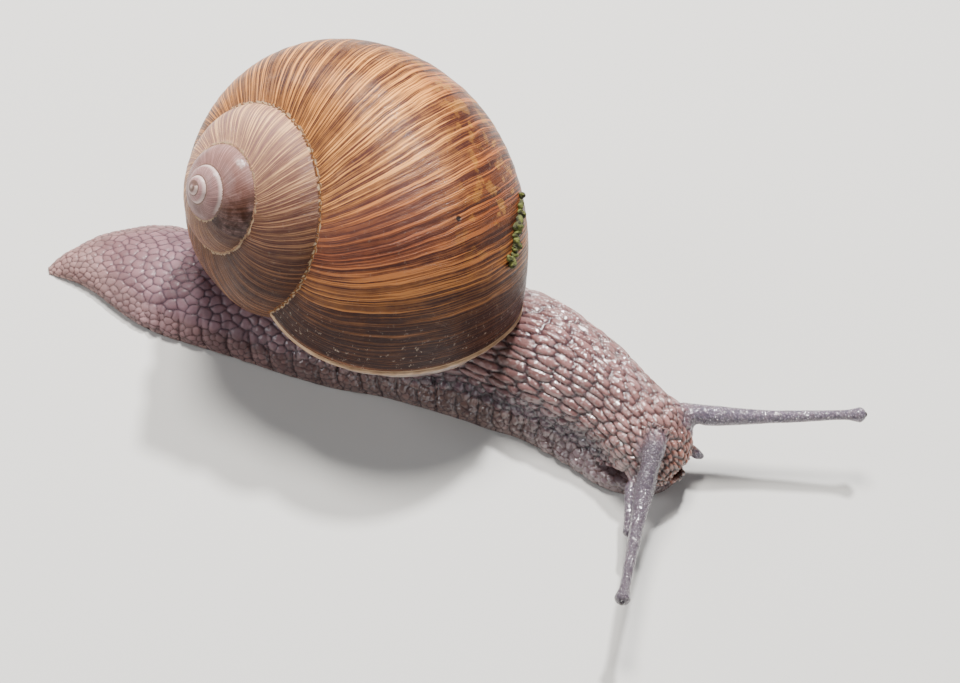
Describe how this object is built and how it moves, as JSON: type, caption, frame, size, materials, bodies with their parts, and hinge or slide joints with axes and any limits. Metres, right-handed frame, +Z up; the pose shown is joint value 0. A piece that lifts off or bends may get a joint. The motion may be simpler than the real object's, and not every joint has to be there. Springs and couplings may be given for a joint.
{
  "type": "roman snail model",
  "caption": "Life-size still model of a crawling Roman snail with a striped shell, textured body and outstretched feelers.",
  "frame": {"origin": "on the flat sole, about half way along the body, at floor level", "axes": "+X from the tail to the head, +Y to the snail's left, +Z up"},
  "size_m": [0.0998, 0.0483, 0.0376],
  "materials": {
    "skin": "wet, beige-grey skin with raised tubercles and darker mauve grooves",
    "tentacle": "wet, bluish grey and finely grained, slightly translucent",
    "mantle": "wet, smooth, pale beige-grey",
    "eye": "glossy black",
    "shell": "satin, ochre and dark brown growth stripes, greyish mauve at the apex",
    "shell_lip": "satin cream edge"
  },
  "bodies": {
    "root": {"tail": "skin", "foot_middle": "skin", "foot_front": "skin", "trunk": "skin", "neck": "skin", "head": "skin", "snout": "skin", "mantle_collar": "mantle", "upper_tentacle_left_base": "tentacle", "upper_tentacle_left_tip": "tentacle", "lower_tentacle_left": "tentacle", "upper_tentacle_right_base": "tentacle", "upper_tentacle_right_tip": "tentacle", "lower_tentacle_right": "tentacle", "eye_left": "eye", "eye_right": "eye", "shell_apex": "shell", "shell_spire": "shell", "shell_body_whorl": "shell", "shell_lip": "shell_lip"}
  },
  "joints": []
}
